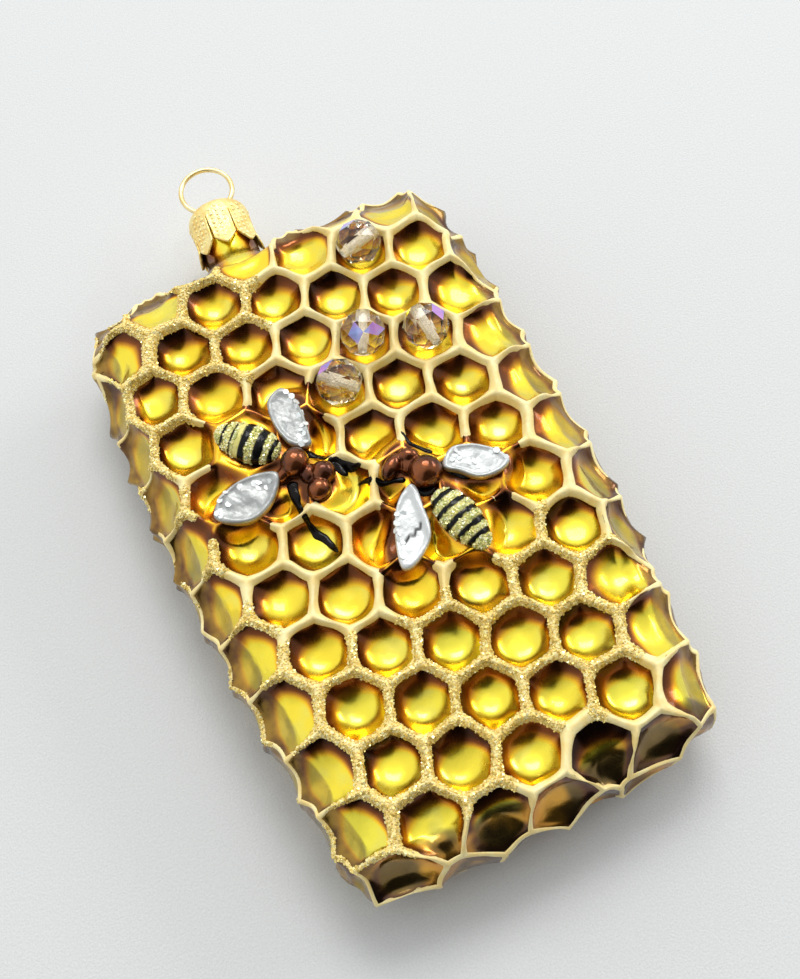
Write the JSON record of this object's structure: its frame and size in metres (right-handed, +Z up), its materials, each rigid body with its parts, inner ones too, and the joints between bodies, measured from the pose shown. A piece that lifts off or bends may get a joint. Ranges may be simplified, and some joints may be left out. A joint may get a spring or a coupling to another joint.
{
  "type": "glass honeycomb hanging ornament",
  "caption": "Hanging glass ornament shaped as a slab of honeycomb, amber and gold, with relief bees, crystal beads set in cells, and a petalled metal cap with a wire ring.",
  "frame": {"origin": "centre of the flat resting pad in the middle of the back, where the ornament lies on a table", "axes": "+Z up out of the shown face with the bees, +Y along the slab toward the hanging cap, +X across the slab"},
  "size_m": [0.0746, 0.1376, 0.0268],
  "materials": {
    "amber_glass": "blown glass silvered inside, transparent amber lacquer, high gloss",
    "cream_paint": "raised pearly cream-gold paint, satin",
    "gold_glitter": "fine glitter grains glued on the paint",
    "silver_paint": "silver paint with chunky white flakes",
    "brown_enamel": "pearly brown paint, gloss",
    "black_enamel": "gloss",
    "cap_metal": "gold-coloured embossed sheet, satin",
    "ring_wire": "gold-coloured wire, bright",
    "crystal": "cut and polished, iridescent coat"
  },
  "bodies": {
    "root": {"glass_comb": "amber_glass", "cap": "cap_metal", "hanging_ring": "ring_wire", "bead_1": "crystal", "bead_2": "crystal", "bead_3": "crystal", "bead_4": "crystal"}
  },
  "joints": []
}
